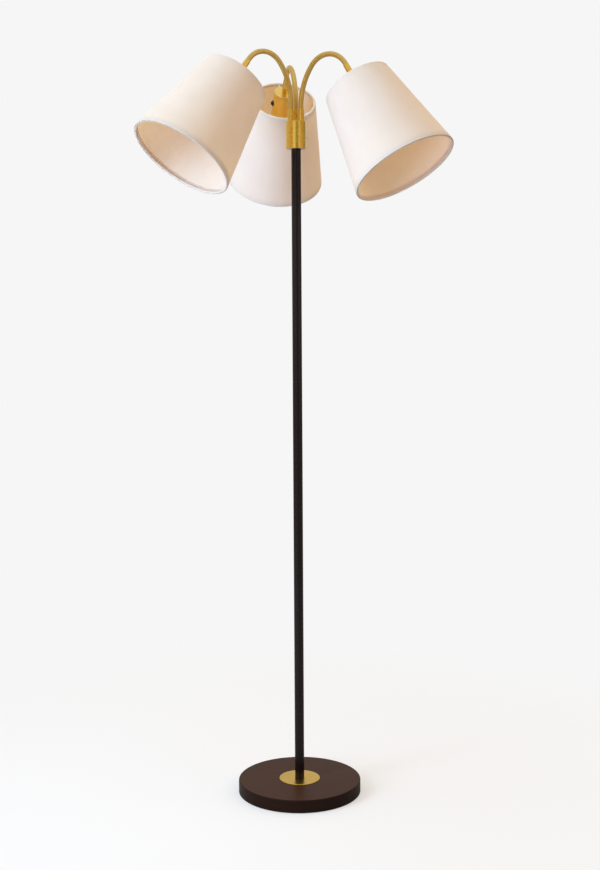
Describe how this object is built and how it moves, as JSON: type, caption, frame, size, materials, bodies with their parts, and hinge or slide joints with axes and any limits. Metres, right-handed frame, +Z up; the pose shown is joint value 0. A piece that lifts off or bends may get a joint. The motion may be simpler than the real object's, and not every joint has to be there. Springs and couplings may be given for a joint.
{
  "type": "tree floor lamp",
  "caption": "Floor lamp on a round weighted base: slim dark pole, brass collar and ribbed flexible necks, each with a brass lampholder cup and a conical fabric shade.",
  "frame": {"origin": "centre of the base's underside, on the floor", "axes": "+Z up along the pole; the front view looks along +Y, with +X to the right"},
  "size_m": [0.5958, 0.6027, 1.4849],
  "materials": {
    "felt": "grey-black needle felt",
    "cast_iron": "rough as cast",
    "dark_enamel": "fine-grained satin enamel",
    "satin_brass": "satin, turned and brushed",
    "zinc_steel": "zinc plated",
    "black_plastic": "matt moulded",
    "black_lacquer": "semi-gloss lacquer",
    "white_plastic": "matt moulded",
    "lead_sheath": "smooth sheath",
    "brass_hose": "wound strip with fine ribs",
    "holder_plastic": "matt heat-resistant plastic",
    "white_wire": "white coated wire",
    "shade_fabric": "plain weave on a stiff white backing",
    "bulb_cap_metal": "rolled thread",
    "opal_glass": "opal, smooth"
  },
  "bodies": {
    "stand": {"base_pad": "felt", "base_weight": "cast_iron", "base_cover": "dark_enamel", "foot_disc": "satin_brass", "foot_nut": "zinc_steel", "foot_nipple": "zinc_steel", "cord_gland": "black_plastic", "pole_lower": "black_lacquer", "pole_middle": "black_lacquer", "pole_upper": "black_lacquer", "pole_bushes": "zinc_steel", "pole_studs": "zinc_steel", "collar": "satin_brass", "collar_base": "satin_brass", "collar_nipple": "zinc_steel", "terminal_block": "white_plastic", "supply_lead": "lead_sheath", "neck_sleeves": "satin_brass", "sleeve_nuts": "zinc_steel"},
    "left_neck_1": {"left_neck_1": "brass_hose"},
    "left_neck_2": {"left_neck_2": "brass_hose"},
    "left_neck_3": {"left_neck_3": "brass_hose"},
    "left_head": {"left_end_sleeve": "satin_brass", "left_cup": "satin_brass", "left_holder": "holder_plastic", "left_switch_body": "black_plastic", "left_shade_frame": "white_wire", "left_shade_fabric": "shade_fabric", "left_shade_ring": "holder_plastic", "left_bulb_cap": "bulb_cap_metal", "left_bulb_glass": "opal_glass"},
    "left_button": {"left_switch_button": "black_plastic"},
    "right_neck_1": {"right_neck_1": "brass_hose"},
    "right_neck_2": {"right_neck_2": "brass_hose"},
    "right_neck_3": {"right_neck_3": "brass_hose"},
    "right_head": {"right_end_sleeve": "satin_brass", "right_cup": "satin_brass", "right_holder": "holder_plastic", "right_switch_body": "black_plastic", "right_shade_frame": "white_wire", "right_shade_fabric": "shade_fabric", "right_shade_ring": "holder_plastic", "right_bulb_cap": "bulb_cap_metal", "right_bulb_glass": "opal_glass"},
    "right_button": {"right_switch_button": "black_plastic"},
    "back_neck_1": {"back_neck_1": "brass_hose"},
    "back_neck_2": {"back_neck_2": "brass_hose"},
    "back_neck_3": {"back_neck_3": "brass_hose"},
    "back_head": {"back_end_sleeve": "satin_brass", "back_cup": "satin_brass", "back_holder": "holder_plastic", "back_switch_body": "black_plastic", "back_shade_frame": "white_wire", "back_shade_fabric": "shade_fabric", "back_shade_ring": "holder_plastic", "back_bulb_cap": "bulb_cap_metal", "back_bulb_glass": "opal_glass"},
    "back_button": {"back_switch_button": "black_plastic"}
  },
  "joints": [
    {"name": "left_swing", "type": "hinge", "parent": "stand", "child": "left_neck_1", "pos_m": [-0.00996, -0.00575, 1.375], "axis": [0, 0, 1], "range_deg": [-25, 25]},
    {"name": "left_bend", "type": "hinge", "parent": "left_neck_1", "child": "left_neck_2", "pos_m": [-0.01669, -0.01044, 1.43362], "axis": [-0.5721, 0.8202, 0], "range_deg": [-8, 18]},
    {"name": "left_bend_2", "type": "hinge", "parent": "left_neck_2", "child": "left_neck_3", "pos_m": [-0.04762, -0.03202, 1.47754], "axis": [-0.5721, 0.8202, 0], "range_deg": [-8, 18]},
    {"name": "left_bend_3", "type": "hinge", "parent": "left_neck_3", "child": "left_head", "pos_m": [-0.09055, -0.06197, 1.45922], "axis": [-0.5721, 0.8202, 0], "range_deg": [-8, 18]},
    {"name": "left_switch_push", "type": "slide", "parent": "left_head", "child": "left_button", "axis": [-0.5721, 0.8202, 0], "range_m": [0, 0.002], "stiffness_N_per_m": 400, "springref_m": -0.001},
    {"name": "right_swing", "type": "hinge", "parent": "stand", "child": "right_neck_1", "pos_m": [0.00996, -0.00575, 1.375], "axis": [0, 0, 1], "range_deg": [-25, 25]},
    {"name": "right_bend", "type": "hinge", "parent": "right_neck_1", "child": "right_neck_2", "pos_m": [0.0195, -0.01255, 1.43294], "axis": [-0.5807, -0.8141, 0], "range_deg": [-8, 18]},
    {"name": "right_bend_2", "type": "hinge", "parent": "right_neck_2", "child": "right_neck_3", "pos_m": [0.05306, -0.03649, 1.47292], "axis": [-0.5807, -0.8141, 0], "range_deg": [-8, 18]},
    {"name": "right_bend_3", "type": "hinge", "parent": "right_neck_3", "child": "right_head", "pos_m": [0.09495, -0.06638, 1.45105], "axis": [-0.5807, -0.8141, 0], "range_deg": [-8, 18]},
    {"name": "right_switch_push", "type": "slide", "parent": "right_head", "child": "right_button", "axis": [-0.5807, -0.8141, 0], "range_m": [0, 0.002], "stiffness_N_per_m": 400, "springref_m": -0.001},
    {"name": "back_swing", "type": "hinge", "parent": "stand", "child": "back_neck_1", "pos_m": [0, 0.0115, 1.375], "axis": [0, 0, 1], "range_deg": [-25, 25]},
    {"name": "back_bend", "type": "hinge", "parent": "back_neck_1", "child": "back_neck_2", "pos_m": [-0.00258, 0.02644, 1.43159], "axis": [0.9854, 0.1702, 0], "range_deg": [-8, 18]},
    {"name": "back_bend_2", "type": "hinge", "parent": "back_neck_2", "child": "back_neck_3", "pos_m": [-0.01066, 0.07321, 1.46576], "axis": [0.9854, 0.1702, 0], "range_deg": [-8, 18]},
    {"name": "back_bend_3", "type": "hinge", "parent": "back_neck_3", "child": "back_head", "pos_m": [-0.01972, 0.1257, 1.44788], "axis": [0.9854, 0.1702, 0], "range_deg": [-8, 18]},
    {"name": "back_switch_push", "type": "slide", "parent": "back_head", "child": "back_button", "axis": [0.9854, 0.1702, 0], "range_m": [0, 0.002], "stiffness_N_per_m": 400, "springref_m": -0.001}
  ],
  "couplings": [
    {"joint": "left_bend_2", "follows": "left_bend", "ratio": 1},
    {"joint": "left_bend_3", "follows": "left_bend", "ratio": 1},
    {"joint": "right_bend_2", "follows": "right_bend", "ratio": 1},
    {"joint": "right_bend_3", "follows": "right_bend", "ratio": 1},
    {"joint": "back_bend_2", "follows": "back_bend", "ratio": 1},
    {"joint": "back_bend_3", "follows": "back_bend", "ratio": 1}
  ]
}
